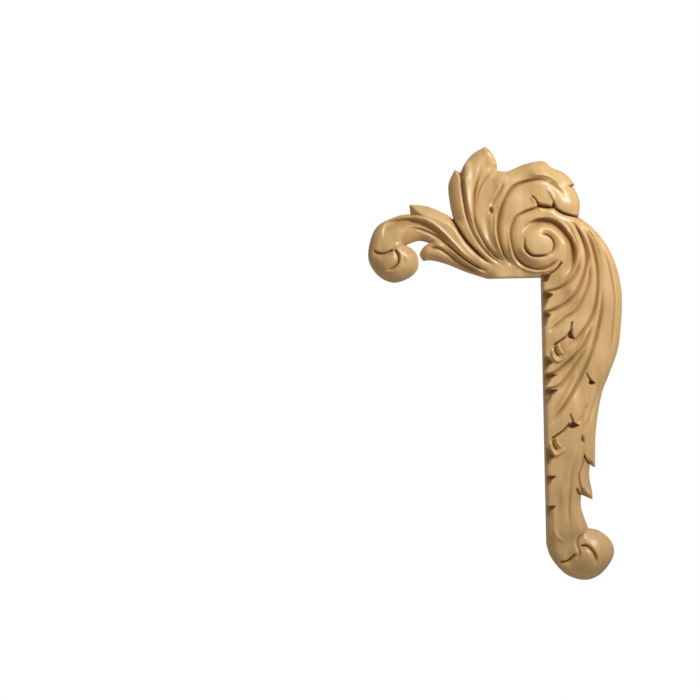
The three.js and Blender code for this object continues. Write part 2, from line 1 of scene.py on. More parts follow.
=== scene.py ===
import math

import bpy
import numpy as np
from mathutils import Matrix, Vector
from mathutils.geometry import delaunay_2d_cdt


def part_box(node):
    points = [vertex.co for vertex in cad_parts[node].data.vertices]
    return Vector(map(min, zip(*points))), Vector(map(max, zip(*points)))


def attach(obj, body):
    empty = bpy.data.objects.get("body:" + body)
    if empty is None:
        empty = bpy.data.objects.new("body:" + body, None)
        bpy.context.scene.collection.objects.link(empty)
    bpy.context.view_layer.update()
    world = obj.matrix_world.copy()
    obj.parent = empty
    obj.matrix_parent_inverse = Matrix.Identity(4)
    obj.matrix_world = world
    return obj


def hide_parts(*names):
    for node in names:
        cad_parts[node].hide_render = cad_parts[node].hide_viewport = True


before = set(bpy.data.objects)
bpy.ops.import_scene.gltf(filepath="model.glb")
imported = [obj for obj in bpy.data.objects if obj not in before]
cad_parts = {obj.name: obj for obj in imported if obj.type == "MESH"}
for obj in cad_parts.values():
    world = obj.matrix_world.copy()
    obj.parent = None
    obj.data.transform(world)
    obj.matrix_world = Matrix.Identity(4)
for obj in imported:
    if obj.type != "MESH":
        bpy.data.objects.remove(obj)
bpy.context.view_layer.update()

# The blank: one board of light maple, planed flat behind and fretted out to the scroll's outline.
# It is drawn in mm from the inner corner, x to the right and z up, and the drawing is brought to the
# size of the real piece at the end. Each run of the outline is smooth, and the runs meet at corners.
BOARD_OUTLINE = [
    # straight underside of the arm, then its lower lobe
    [(0, 0), (-25, 0)],
    [(-25, 0), (-35, 3.5), (-44, 7.4), (-51, 9.3), (-54.8, 9.1)],
    [(-54.8, 9.1), (-56.4, 12), (-55, 15.2), (-51.5, 17.5)],
    # the arm's bud and the tab leaf behind it
    [(-51.5, 17.5), (-57, 18.7), (-63.3, 16.6)],
    [(-63.3, 16.6), (-58.3, 12.3), (-57.8, 5.2), (-62.5, 0.8), (-69.5, -0.8), (-76.3, 2.8),
     (-80.4, 10), (-79.5, 19), (-75.5, 26), (-66.5, 30.1), (-60.3, 30.8)],
    [(-60.3, 30.8), (-60.8, 35.3)],
    [(-60.8, 35.3), (-53, 34.3), (-45, 30.8), (-40.1, 27.7)],
    # the two leaves that stand up behind the volute
    [(-40.1, 27.7), (-41.8, 36), (-42.3, 45), (-39.7, 51.2)],
    [(-39.7, 51.2), (-36.9, 49.8)],
    [(-36.9, 49.8), (-34.5, 54.8), (-30.5, 59), (-25.3, 61.8)],
    [(-25.3, 61.8), (-22.8, 58.8), (-20.6, 54), (-20.3, 50.2)],
    # the crest
    [(-20.3, 50.2), (-15.5, 49.8), (-8, 52.7), (0.5, 54), (4.5, 51.1), (11, 48.2), (15.4, 42.8)],
    [(15.4, 42.8), (14.6, 42)],
    [(14.6, 42), (17.3, 35), (16.8, 27.9)],
    # the leg's outer side with its two leaf tips
    [(16.8, 27.9), (24, 21.8), (30, 13.5), (34.3, 3), (36.2, -11), (34.5, -32), (30, -45.3),
     (26, -56), (23, -72), (22.4, -82), (22.3, -89.8)],
    [(22.3, -89.8), (19.9, -88)],
    [(19.9, -88), (19.5, -94), (20.7, -101), (20.7, -104.7)],
    [(20.7, -104.7), (15.6, -102.4)],
    [(15.6, -102.4), (15.6, -109), (19, -119)],
    # the leg's bud, and the straight inner edge back up to the corner
    [(19, -119), (25.5, -120.8), (30, -126), (30, -132.5), (24, -140.2), (16.5, -142.7),
     (8, -139.8), (2, -132.5), (0, -126)],
    [(0, -126), (0, 0)],
]
BOARD_STEP = 0.36
STEPS_TO_NEXT_PIN = 24


def smooth_line(places, step):
    """Even points along the smooth line through a few places, as a batten bent round pins would lie"""
    pins = np.array([places[0], *places, places[-1]], float)
    t = np.linspace(0, 1, STEPS_TO_NEXT_PIN + 1)[:, None]
    runs = [pins[:1]]
    for before, start, end, after in zip(pins, pins[1:], pins[2:], pins[3:]):
        leave = (end - before) / 2
        arrive = (after - start) / 2
        cubic = (2 * start - 2 * end + leave + arrive) * t**3
        square = (3 * end - 3 * start - 2 * leave - arrive) * t**2
        runs.append((cubic + square + leave * t + start)[1:])
    dense = np.vstack(runs)
    run = np.concatenate([[0], np.cumsum(np.hypot(*np.diff(dense, axis=0).T))])
    even = np.linspace(0, run[-1], max(1, math.ceil(run[-1] / step)) + 1)
    return np.column_stack([np.interp(even, run, dense[:, k]) for k in (0, 1)])


def drawn_outline(step):
    """The outline's points once round, anticlockwise as seen from the front"""
    return np.vstack([smooth_line(run, step)[:-1] for run in BOARD_OUTLINE])[::-1]


edge = drawn_outline(BOARD_STEP)
low, high = edge.min(axis=0), edge.max(axis=0)
# Rows in mm: a level is (x, z, height above the back), and a dome is (x, z, radius, rise). The strokes
# below add rows to the cuts and the pits.
levels = []
domes = []
cuts = []
pits = []

# The arm: a long lobed leaf that runs left from the turn and curls over into a bud at its end.
# A broad channel is cut under its upper rim, and the lower lobe is hollowed below that.
levels += [
    (-74, 22, 13), (-69.6, 18.8, 12.8), (-60, 27, 12.8), (-58, 20.5, 12.6), (-50, 20, 13), (-36, 12, 13),
    (-30, 4, 11.5), (-15, 3, 11.5),
]


def carve(places, depth, left, right, fade=(0.2, 0.2), line=1.1):
    """One stroke of a gouge along a line: so deep, reaching so far to its left and to its right, and
    running out over a share of its length at each end. A negative depth leaves a ridge standing.
    Part of the depth is a narrow groove of the line's width, and with no line the stroke is all round."""
    cuts.append((smooth_line(places, 1), depth, left, right, fade, line))


def parting(places, depth=2.2, left=3.4, right=1.2, fade=(0.15, 0.15), line=1.1):
    """A long cut between two lobes, gentle on one side and steep on the other"""
    carve(places, depth, left, right, fade, line)


def channel(places, depth, left=1, right=5, fade=(0.15, 0.3)):
    """A round hollow with no line in it, which lies mostly to the right unless it is given sides"""
    carve(places, depth, left, right, fade, line=0)


def vein(places, depth=1.3, left=1.6, right=1.2, fade=(0.25, 0.25)):
    """A light cut along the face of a lobe"""
    carve(places, depth, left, right, fade)


def arris(places, rise=0.7, left=1.2, right=1.2, fade=(0.2, 0.25)):
    """A fine ridge, left standing beside a cut"""
    carve(places, -rise, left, right, fade, line=1)


channel([(-72.6, 18), (-73, 22.5), (-70, 26.6), (-62, 27.9), (-55, 26.4), (-48, 22), (-42, 15.8),
         (-37, 11.3)], depth=3, left=1.6, right=4.8, fade=(0.3, 0.3))
parting([(-66.5, 22), (-60, 24.2), (-54, 22.8), (-48, 19.5), (-42, 14.2), (-36, 8.9), (-30, 5.2),
         (-25, 2.6)], depth=3.2, left=3, fade=(0.26, 0.15))
arris([(-66, 29), (-55, 28.3), (-48, 24), (-41, 16.5), (-35, 10.3), (-27, 5)], rise=0.5)
arris([(-51, 18.2), (-47, 17), (-40, 11), (-34, 6.4), (-27, 2.9)], fade=(0.35, 0.25))
parting([(-54, 14.4), (-48.5, 14.6), (-44, 11.8), (-38, 7.2), (-28, 1.8)], left=1.6, right=4)
vein([(-60.2, 31), (-57, 30.1), (-54.5, 28.8)], depth=0.9, fade=(0, 0.5))
parting([(-41.4, 28.6), (-38.5, 23), (-35, 17.5), (-31, 13), (-27, 9.2), (-22, 5.2)],
        depth=4, left=0.9, right=2.6, fade=(0, 0.4))

# The arm's bud: a round button rolled up in the leaf's end. Two crescent cuts part it from the leaf,
# a vein runs from them to the notch in the outline, and a slight dent lies on its right.
levels += [(-69, 8, 10.5)]
domes += [(-68, 8, 10, 3.8)]


def roll(places, rise=0.8, left=2, right=2, fade=(0.25, 0.25)):
    """A broad soft ridge with no line on it"""
    carve(places, -rise, left, right, fade, line=0)


parting([(-78.4, 14.4), (-76.5, 13), (-74, 12.5), (-71.2, 13.1), (-68.8, 14.7)], left=0.9, right=3, line=0.7)
parting([(-69, 14.5), (-67.3, 12.7), (-66.6, 10), (-67.2, 7.7), (-69.5, 5.5), (-73.8, 4.3)], left=1.1,
        right=3, fade=(0.1, 0.3), line=0.8)
vein([(-69, 14.8), (-66, 16), (-63.4, 16.6)], depth=0.8, left=0.9, right=0.9, fade=(0, 0))
vein([(-63.8, 11.2), (-64.2, 8.6), (-63.8, 5.5)], depth=0.35, fade=(0.5, 0.5))

# The standing leaves: two pointed lobes behind the volute, which run down to the arm's root, with a
# drilled eye between the second one and the crest.
levels += [(-39, 44, 12), (-28, 58, 12.5), (-29, 46, 13.8), (-28, 25, 15)]


def sink(corners, depth, wall=0.5):
    """A pit with the given corners, with a wall so wide down to its floor"""
    pits.append((np.array(corners, float), depth, wall))


vein([(-36.9, 50.2), (-36.3, 40), (-34.9, 29), (-32, 20.5), (-27.5, 13.8), (-22.5, 8.6), (-17, 5)],
     left=1.8, right=1.4, fade=(0, 0.2))
roll([(-35, 57), (-35.6, 49), (-34.9, 40), (-33.4, 30), (-30.4, 20)], rise=1.8, left=4, right=1.2,
     fade=(0.1, 0.4))
parting([(-28.3, 53.5), (-29, 48.5), (-30.8, 42), (-31.7, 33), (-31.1, 25.5), (-28, 18.2), (-24, 12.2),
         (-18.3, 7)], depth=1.9, left=2.4, fade=(0.3, 0.1))
roll([(-24, 61.4), (-21.6, 57), (-20.2, 51)], rise=2, right=5, fade=(0.2, 0.3))
carve([(-20.8, 50.2), (-24, 48.5), (-28, 43.5), (-30.2, 37), (-30.7, 31)], 1, 0.8, 2.4, (0.1, 0.5))
vein([(-17.5, 44.5), (-20, 39.5), (-23.2, 34.8), (-23.8, 32.2)])
arris([(-19.4, 44.4), (-21.8, 39.4), (-24.8, 34.6)], rise=0.4)
channel([(-26.2, 30), (-25.6, 22), (-24, 17), (-20.5, 10.5)], depth=0.9, left=2.4, right=2.4,
        fade=(0.25, 0.3))
sink([(-24.4, 32.4), (-23.4, 32.6), (-22.9, 31.2), (-23.3, 30.1), (-24.2, 30.6)], depth=2.4)

# The crest: a broad leaf that folds forward over the volute in three lobes, with its own tip turned
# down on the right. It is the highest part of the carving.
levels += [
    (-12, 50, 15), (-14, 44, 16), (-1, 52, 17), (0, 46, 18.4), (8, 48, 15), (6, 38, 18), (12, 44, 15.6),
    (15, 34, 16.9), (-12, 33, 17),
]
domes += [(10.4, 33.2, 4.8, 0.9)]


def set_in(places, depth=3.6, left=0.8, right=3.4, fade=(0.1, 0.05)):
    """A deep cut straight down along an edge that lies on top, on the left of the line"""
    carve(places, depth, left, right, fade, line=0.7)


def slit(places, depth=1.8, left=0.7, right=0.7, fade=(0.3, 0)):
    """A short narrow cut that starts shallow and ends at its full depth"""
    carve(places, depth, left, right, fade, line=0.6)


parting([(5.6, 42), (1.5, 44.3), (-4, 45.1), (-13.5, 42), (-19, 33), (-20.8, 22), (-18.4, 11.5),
         (-13.3, 4.6)], depth=2.5, left=2.6, fade=(0.2, 0.15))
vein([(9.8, 36), (8.6, 39.4), (5.4, 42.2), (1.5, 44.3)], depth=1.2, left=0.9, fade=(0.5, 0.25))
arris([(-21.6, 31), (-22.3, 21), (-20, 12.3), (-16, 6.6)])
set_in([(-13.9, 26), (-12, 28.4), (-9, 30.1), (-5, 31.5), (-2, 32.4)], depth=2.4, fade=(0.6, 0.05))
set_in([(-2.8, 33.6), (-0.5, 32.8), (2, 32.2), (4.8, 32)], depth=3.8, right=2.4, fade=(0.05, 0.05))
set_in([(4.6, 33), (6.2, 31.4), (9, 29.6), (12.5, 28.4), (17.4, 27.5)], fade=(0.05, 0))
sink([(-2.7, 35), (-1.4, 33.9), (1, 33.3), (3.3, 32.8), (3.3, 31.6), (0, 31.9), (-2.3, 32.2)], depth=3.4)
sink([(4.9, 34.6), (4.1, 32.3), (5.8, 32.6)], depth=3.8)
slit([(-5.8, 37.8), (-3.9, 36.7), (-2.5, 34.6)])
arris([(-6, 36.9), (-4.6, 35.9), (-3.7, 34.2)], rise=0.5)
arris([(1.4, 41.2), (2.6, 39.9), (3.8, 37.9), (5.2, 35.2)], fade=(0.5, 0.05))
roll([(-6.5, 46.6), (-1.5, 47.3), (4, 45.7), (9, 42)], rise=1.2, left=3.6, right=1.2)
vein([(9.8, 49.3), (11.6, 47), (12, 44.6)], depth=1)
slit([(12.2, 42), (13.6, 42.1), (15.4, 42.8)], depth=3, left=0.9)
sink([(13.4, 42.1), (14.6, 42.9), (15.8, 43), (15, 41.6)], depth=3.4)

# The volute: a coil that winds out from a raised eye, with a wide channel round its upper side and a
# rim below. The inner corner beside it is cut right down.
levels += [(-18, 18, 16.5), (-3, 15, 17.8), (9, 16, 17)]
domes += [(-3, 14.8, 9, 0.5)]
carve([(-1.8, 19.6), (1.6, 19.3), (4.2, 17), (4.7, 13.6), (3.2, 10.8), (0, 9.6)], 2.6, 2.8, 0.6, (0.2, 0.4),
      0.6)
parting([(3.6, 11.4), (2, 10.2), (-1, 9.7), (-5.5, 10.1), (-8.2, 13), (-8.9, 16.4), (-8.6, 19.4)],
        depth=3, left=2, right=0.8, fade=(0.3, 0.4), line=0.9)
channel([(-9.4, 19), (-8.6, 22.4), (-5.5, 25.2), (0, 26.7), (6, 25.1), (11, 20), (13.9, 14), (14, 7.5),
         (12, 2.7), (8, -1.4)], depth=4, right=4.6, fade=(0.25, 0.3))
arris([(-3, 23.7), (1, 24.1), (6, 21.8), (9.4, 17.2), (10.5, 11)], rise=0.5)
parting([(6.8, 7.8), (2, 4.3), (-3, 3.6), (-9, 6), (-13.3, 11.3), (-15, 18), (-14.9, 22.5), (-13.8, 26),
         (-12, 28.4), (-8, 30.5), (-3, 32.1)], left=0.9, right=3.4, fade=(0.08, 0.05))
arris([(7, 6.6), (3, 3.1), (-4, 2.3), (-10, 4.6), (-14, 9), (-15.9, 16), (-16, 24)])
slit([(8.4, 6.8), (5.5, 3), (2.3, 1)], depth=2.4, left=0.9, right=0.9, fade=(0.1, 0.1))
sink([(-1, 0.9), (2.8, 0.9), (1.2, -2.2), (-0.5, -2.4)], depth=4.5)

# The leg: a long acanthus leaf that hangs down from the crest. Its flutes sweep from the outer side
# across to tips on the straight inner edge, and its lower end runs out into a plain stem.
levels += [
    (20, 20, 14.5), (31, 4, 14.8), (18, -4, 15.5), (3, -10, 12.8), (30, -30, 14), (16, -30, 15.5),
    (3, -42, 13), (22, -58, 13), (9, -62, 15.2), (16, -78, 14.5), (4, -90, 13.5), (13, -96, 14),
    (3, -112, 12.5), (12, -112, 13.5),
]
arris([(10.3, 27.3), (14, 20.5), (16, 13.5), (14.6, 5.5), (10.2, -2), (3, -6.4)], rise=1)
parting([(12.6, 26), (16.8, 20.5), (19.6, 11), (18.9, 3), (14.8, -7.5), (8, -14), (0.5, -16.7)],
        fade=(0.15, 0))
arris([(13, 27), (18.3, 19.8), (21.2, 12), (21.7, 5)], rise=1)
parting([(18.3, 23.8), (22.5, 14), (24.7, 1), (23.3, -14), (18.6, -24.3), (8.7, -35.2)])
vein([(21, 21.3), (23.5, 17.4)], depth=1.3)
arris([(22.6, 20.3), (25.6, 14), (26.6, 9)], rise=0.5)
vein([(24, 20.3), (28.8, 9), (31.9, -8), (31.2, -24), (28.6, -42)], depth=1, left=1.2)
parting([(21.2, 6), (20.2, -4), (15, -15.3), (9, -19.8), (1, -26.5)], depth=1.8)
vein([(16.7, 9), (15, 2), (9.5, -4.4), (0.5, -7.2)], depth=1.8, left=2, fade=(0.3, 0))
arris([(14, -4.8), (8, -11.7), (2.5, -14.8)])
arris([(18, -8.5), (13, -14.2), (7, -18.3), (2, -22.5)], rise=0.5)
parting([(26, -3), (25.9, -17), (22.4, -32), (17, -45.5), (9.8, -58), (0.4, -70.5)], left=2.6,
        fade=(0.25, 0.15))
parting([(21.9, -22), (17, -33.3), (6, -44), (0.5, -45.8)], depth=2, fade=(0.2, 0))
parting([(20.3, -30.5), (14.5, -40.3), (7, -50.4), (0.5, -52.7)], depth=1.7, left=2.4, fade=(0.3, 0))
arris([(20.2, -24), (13, -35.7), (2.5, -44.4)])
arris([(15, -43), (9, -54), (3.5, -63)])
vein([(24.8, -48), (23.6, -56), (20.3, -65), (16.8, -74)], depth=0.9, left=1.8, right=1.8)
vein([(19, -59), (16.5, -65.5), (13.8, -69.4)], depth=0.9)
parting([(13.6, -81), (11.4, -90), (9.6, -104), (9.2, -113), (10, -119)], depth=0.9, left=3, right=1.6,
        fade=(0.3, 0.3))
roll([(13.8, -78), (10.8, -88), (7.4, -98), (6.6, -110)], rise=0.5)
channel([(0, -108), (0, -127)], depth=1.6, left=3, right=3)
slit([(17, -83.5), (16, -88), (14.4, -92.5), (14.4, -95.6), (15.3, -99), (17, -103.2)], depth=1.1,
     fade=(0.05, 0))
slit([(16.6, -82.8), (18, -86.2), (20, -88.2)], depth=2.4)
slit([(13, -98.8), (14.4, -101.6), (15.8, -102.4)], depth=2.4)
roll([(17.8, -99.4), (18.8, -102.6), (19.8, -105)], rise=1.8, left=2.6, fade=(0.5, 0))
sink([(16, -74.6), (16.9, -76), (16.6, -78), (15.6, -77.5)], depth=1.8)

# The leg's lobes: two of them curl over at the inner edge, eyelets part them from the next ones, and
# under each tip a small wedge is cut down to the ground.
CURLED_LOBES = [(0, 0), (-1.8, -43.6)]
EYELET_DEPTH = 4.5
# (height of the tip, reach across, fall to the inner corner, whole drop)
TIP_WEDGES = [
    (-7, 3.9, 1.4, 7), (-16.5, 2.8, 1.2, 6.5), (-37, 3.4, 3, 7), (-45.6, 5, 0.3, 5.4),
    (-52.7, 5, 0.4, 7), (-79.6, 3.2, 4.4, 8.6), (-93.3, 3.4, 0.2, 4.7), (-107.4, 3.2, 0, 5.6),
]
WEDGE_DEPTH = 5
WEDGE_BOW = 0.35
PAST_EDGE = 0.5


def moved(places, by):
    """The places of the upper curled lobe, shifted to where the lobe is"""
    return [(x + by[0], z + by[1]) for x, z in places]


for by in CURLED_LOBES:
    set_in(moved([(3.6, -32.4), (6.5, -30.4), (9.6, -28.2), (12, -25.4)], by), depth=2.4, right=1.6,
           fade=(0.1, 0))
    slit(moved([(4.6, -32.2), (4.8, -35.2), (6.6, -37.6)], by), left=1.4, right=0.8, fade=(0.1, 0.2))
    arris(moved([(5.8, -31), (6.2, -33.8), (8.4, -36.6)], by), rise=1.3, left=0.8, right=1)
    arris(moved([(3.3, -33), (3.3, -37), (5.4, -39.5), (8, -38.8), (10, -36)], by), rise=1.3)

slit([(12.8, -20.7), (12.2, -23), (12, -25.6)])
sink([(11.8, -25.2), (10.4, -28), (11.4, -29), (13.4, -29.2), (12.4, -27.2)], EYELET_DEPTH)
slit([(18.8, -45), (19.4, -46.8), (21, -49)])
sink([(20.6, -48.6), (20.1, -50.2), (21.2, -50.8), (22.6, -50.1), (21.6, -49.2)], EYELET_DEPTH)
slit([(10.7, -63.8), (11.3, -65.8), (12.5, -68.6)])
sink([(12.1, -67.8), (11.3, -69), (9.9, -70.5), (12, -71), (14.6, -69.7), (13.1, -68.9)],
     EYELET_DEPTH)

for tip, reach, fall, drop in TIP_WEDGES:
    upper_bow, lower_bow = WEDGE_BOW * fall, WEDGE_BOW * (drop - fall)
    sink([(-PAST_EDGE, tip), (reach / 2, tip - upper_bow), (reach, tip - fall),
          (reach / 2, tip - fall - lower_bow), (0.1, tip - drop), (-PAST_EDGE, tip - drop)],
         WEDGE_DEPTH)

# The leg's bud: the leaf's end rolled up into a button, as on the arm. One crescent cut lies on the
# button and one beside it, and a vein runs up between the button and the stem.
levels += [(18, -131, 11), (6, -132, 10.5)]
domes += [(19.2, -130.6, 11, 4.4)]
parting([(5, -133.3), (7, -133.8), (9, -133.1), (10.9, -131.4), (12.4, -129.4)], left=0.9, right=2.8,
        line=0.7)
vein([(11, -133), (13.4, -131), (13.9, -128.6), (13, -125.2), (14.3, -122.2), (17.4, -120.1)], left=1.2,
     right=1)
parting([(14, -126.6), (17, -126), (19.4, -127.8), (21.2, -131), (21.3, -133.5), (20.4, -136)], depth=2.4,
        left=1.5, right=3, fade=(0.1, 0.4), line=0.9)
arris([(2.8, -118), (3.8, -121.5), (7.5, -124.5)], rise=0.5)

# The carving as it comes off the bench: the cuts taken out of the rolled surface of the board, with
# upright sawn edges and the flat back. It is one piece of wood, glued on by its back. Its points lie
# on an even field inside the outline, and closer together along every cut.
FIELD_STEP = 0.44
CUT_STEP = 0.45
CUT_ROWS = (0, -0.35, 0.35, -0.7, 0.7)
CLOSEST = 0.24
GROUND = 6
LEVEL_SPREAD = 5.5
LEVEL_FLATNESS = 0.6
DOME_POWER = 1.5
SCOOP_POWER = 1.7
CREASE_SHARE = 0.5
EDGE_ROLL_WIDTH = 5
EDGE_ROLL_DROP = 3.2
SAWN_ROLL_WIDTH = 0.8
SAWN_ROLL_DROP = 0.5
SHARP_ANGLE = math.radians(50)


def nearest(line, x, z):
    """How far each point is from a line, on which side of it, and how far along it (0 to 1)"""
    far = np.full(x.shape, 1e9)
    side = np.ones(x.shape)
    along = np.zeros(x.shape)
    for i, ((ax, az), (bx, bz)) in enumerate(zip(line, line[1:])):
        dx, dz = bx - ax, bz - az
        t = np.clip(((x - ax) * dx + (z - az) * dz) / max(dx * dx + dz * dz, 1e-9), 0, 1)
        ex, ez = x - ax - t * dx, z - az - t * dz
        here = np.hypot(ex, ez)
        closer = here < far
        far[closer] = here[closer]
        side[closer] = np.where(dx * ez < dz * ex, -1, 1)[closer]
        along[closer] = (i + t[closer]) / (len(line) - 1)
    return far, side, along


def is_inside(loop, x, z):
    """Whether each point is inside the loop, from the number of its sides to the point's right"""
    inside = np.zeros(x.shape, bool)
    for (ax, az), (bx, bz) in zip(loop, np.roll(loop, -1, axis=0)):
        if az != bz:
            inside ^= ((az > z) != (bz > z)) & (x < (bx - ax) * (z - az) / (bz - az) + ax)
    return inside


def closed(loop):
    """The loop with its first point again at its end"""
    return np.vstack([loop, loop[:1]])


def beside(line, offset):
    """A row of points along a line, so far to the left of it"""
    row = smooth_line(line, CUT_STEP)
    way = np.gradient(row, axis=0)
    way /= np.hypot(*way.T)[:, None]
    return row + offset * np.column_stack([-way[:, 1], way[:, 0]])


def fill(points, rim_count):
    """Triangles between the points, inside the loop that the first rim_count of them make"""
    around_rim = [(i, (i + 1) % rim_count) for i in range(rim_count)]
    flat = [Vector(p) for p in points]
    triangles = np.array([list(f) for f in delaunay_2d_cdt(flat, around_rim, [], 0, 1e-6, False)[2]])
    on_rim = np.flatnonzero((triangles < rim_count).all(axis=1))
    middle = points[triangles[on_rim]].mean(axis=1)
    outside = on_rim[~is_inside(points[:rim_count], *middle.T)]
    return np.delete(triangles, outside, axis=0)


def ease(t):
    """From 0 to 1, slowly at both ends"""
    t = np.clip(t, 0, 1)
    return t * t * (3 - 2 * t)


rows = np.arange(low[1], high[1], FIELD_STEP * math.sqrt(0.75))
field = [
    np.column_stack([x, np.full(x.shape, z)])
    for k, z in enumerate(rows)
    for x in [np.arange(low[0] + (k % 2) * FIELD_STEP / 2, high[0], FIELD_STEP)]
]
on_cuts = [beside(line, row) for row in CUT_ROWS for line, *_ in cuts]
on_pits = [beside(closed(corners), row) for row in CUT_ROWS[:3] for corners, *_ in pits]
inner = np.vstack(on_cuts + on_pits + field)
for shift in (0, 0.5):
    cells = np.floor(inner / CLOSEST + shift)
    inner = inner[np.sort(np.unique(cells, axis=0, return_index=True)[1])]
inner = inner[is_inside(edge, *inner.T)]
inner = inner[nearest(closed(drawn_outline(1)), *inner.T)[0] > CLOSEST]
plan = np.vstack([edge, inner])
front = fill(plan, len(edge))
X, Z = plan.T
rolled_edge = np.vstack([smooth_line(run, 1) for run in BOARD_OUTLINE[1:-1]])
sawn_edge = np.array([BOARD_OUTLINE[0][1], BOARD_OUTLINE[0][0], BOARD_OUTLINE[-1][0]], float)

weights = np.zeros(X.shape)
height = np.zeros(X.shape)
for x, z, level in levels:
    weight = 1 / (((X - x) ** 2 + (Z - z) ** 2) / LEVEL_SPREAD**2 + LEVEL_FLATNESS) ** 2
    weights += weight
    height += weight * level
height /= weights
for x, z, radius, rise in domes:
    height += rise * np.clip(1 - ((X - x) ** 2 + (Z - z) ** 2) / radius**2, 0, 1) ** DOME_POWER
for line, width, drop in [
    (rolled_edge, EDGE_ROLL_WIDTH, EDGE_ROLL_DROP), (sawn_edge, SAWN_ROLL_WIDTH, SAWN_ROLL_DROP),
]:
    height -= drop * np.clip(1 - nearest(line, X, Z)[0] / width, 0, 1) ** 2

# Where cuts cross, their cubes are added, so that the deeper one decides and they meet in a soft edge.
sunk = np.zeros(X.shape)
raised = np.zeros(X.shape)
for path, depth, left, right, fade, line in cuts:
    (x0, z0), (x1, z1) = path.min(axis=0) - max(left, right), path.max(axis=0) + max(left, right)
    touched = (X > x0) & (X < x1) & (Z > z0) & (Z < z1)
    far, side, along = nearest(path, X[touched], Z[touched])
    reach = np.where(side > 0, left, right)
    run_out = np.ones(far.shape)
    if fade[0]:
        run_out *= ease(along / fade[0])
    if fade[1]:
        run_out *= ease((1 - along) / fade[1])
    scoop = np.clip(1 - far / reach, 0, 1)
    if line:
        groove = ease(1 - far / np.minimum(reach, line))
        shape = (1 - CREASE_SHARE) * scoop**SCOOP_POWER + CREASE_SHARE * groove
    else:
        shape = ease(scoop)
    profile = abs(depth) * run_out * shape
    if depth > 0:
        sunk[touched] += profile**3
    else:
        raised[touched] += profile**3
for corners, depth, wall in pits:
    (x0, z0), (x1, z1) = corners.min(axis=0) - wall, corners.max(axis=0) + wall
    touched = (X > x0) & (X < x1) & (Z > z0) & (Z < z1)
    far = nearest(closed(corners), X[touched], Z[touched])[0]
    inward = np.where(is_inside(corners, X[touched], Z[touched]), far, -far)
    sunk[touched] += (depth * ease(0.5 + 0.5 * inward / wall)) ** 3
hollow = np.cbrt(sunk)
height = np.maximum(height - hollow + np.cbrt(raised), GROUND)

low_corner, high_corner = (np.array(corner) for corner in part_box("corner_onlay"))
across, deep, upward = high_corner - low_corner
x_real = low_corner[0] + (X - low[0]) * across / (high[0] - low[0])
z_real = low_corner[2] + (Z - low[1]) * upward / (high[1] - low[1])
y_real = high_corner[1] - height * deep / height.max()
ring = list(range(len(edge)))
flat_back = fill(edge, len(edge))
vertices = np.vstack([
    np.column_stack([x_real, y_real, z_real]),
    np.column_stack([x_real[ring], np.full(len(ring), high_corner[1]), z_real[ring]]),
])
walls = [(i, len(X) + i, len(X) + j, j) for i, j in zip(ring, ring[1:] + ring[:1])]
faces = front.tolist() + walls + (len(X) + flat_back[:, ::-1]).tolist()
mesh = bpy.data.meshes.new("corner_onlay_carving")
mesh.from_pydata(vertices.tolist(), [], faces)
mesh.validate()
mesh.shade_smooth()
shade = mesh.attributes.new("hollow", "FLOAT", "POINT")
shade.data.foreach_set("value", np.concatenate([hollow, np.zeros(len(ring))]).astype(np.float32))
mesh.set_sharp_from_angle(angle=SHARP_ANGLE)
# The front's outline stays crisp, also where the wall meets it at a blunt angle.
ends = np.empty(2 * len(mesh.edges), int)
mesh.edges.foreach_get("vertices", ends)
crisp = np.empty(len(mesh.edges), bool)
mesh.attributes["sharp_edge"].data.foreach_get("value", crisp)
crisp |= (ends.reshape(-1, 2) < len(edge)).all(axis=1)
mesh.attributes["sharp_edge"].data.foreach_set("value", crisp)
carving = bpy.data.objects.new("carving", mesh)
bpy.context.scene.collection.objects.link(carving)

# The wood and its finish: pale maple with faint upright grain under a clear satin lacquer, browned in the
# hollows by how deep they are cut: partly stain pooled in the cuts, partly painted shade in the creases and
# pits.
PALE_GRAIN = (0.66, 0.44, 0.2, 1)
DARK_GRAIN = (0.56, 0.36, 0.155, 1)
# The brown put into the cuts and pits is partly stain that gathers there and partly painted shade.
STAIN_AND_SHADE_COLOUR = (0.36, 0.19, 0.06, 1)
FULL_STAIN_AND_SHADE_DEPTH = 5
MOST_STAIN_AND_SHADE = 0.72
GRAIN_PER_M = (420, 420, 24)
wood = bpy.data.materials.new("lacquered_maple")
wood.use_nodes = True
tree = wood.node_tree
shader = tree.nodes["Principled BSDF"]
shader.inputs["Roughness"].default_value = 0.42
shader.inputs["Coat Weight"].default_value = 0.35
shader.inputs["Coat Roughness"].default_value = 0.3
place = tree.nodes.new("ShaderNodeTexCoord")
stretch = tree.nodes.new("ShaderNodeMapping")
stretch.inputs["Scale"].default_value = GRAIN_PER_M
tree.links.new(place.outputs["Object"], stretch.inputs["Vector"])
grain = tree.nodes.new("ShaderNodeTexNoise")
grain.inputs["Scale"].default_value = 1
grain.inputs["Detail"].default_value = 5
tree.links.new(stretch.outputs["Vector"], grain.inputs["Vector"])
tone = tree.nodes.new("ShaderNodeValToRGB")
tone.color_ramp.elements[0].position = 0.3
tone.color_ramp.elements[0].color = DARK_GRAIN
tone.color_ramp.elements[1].position = 0.7
tone.color_ramp.elements[1].color = PALE_GRAIN
tree.links.new(grain.outputs["Fac"], tone.inputs["Fac"])
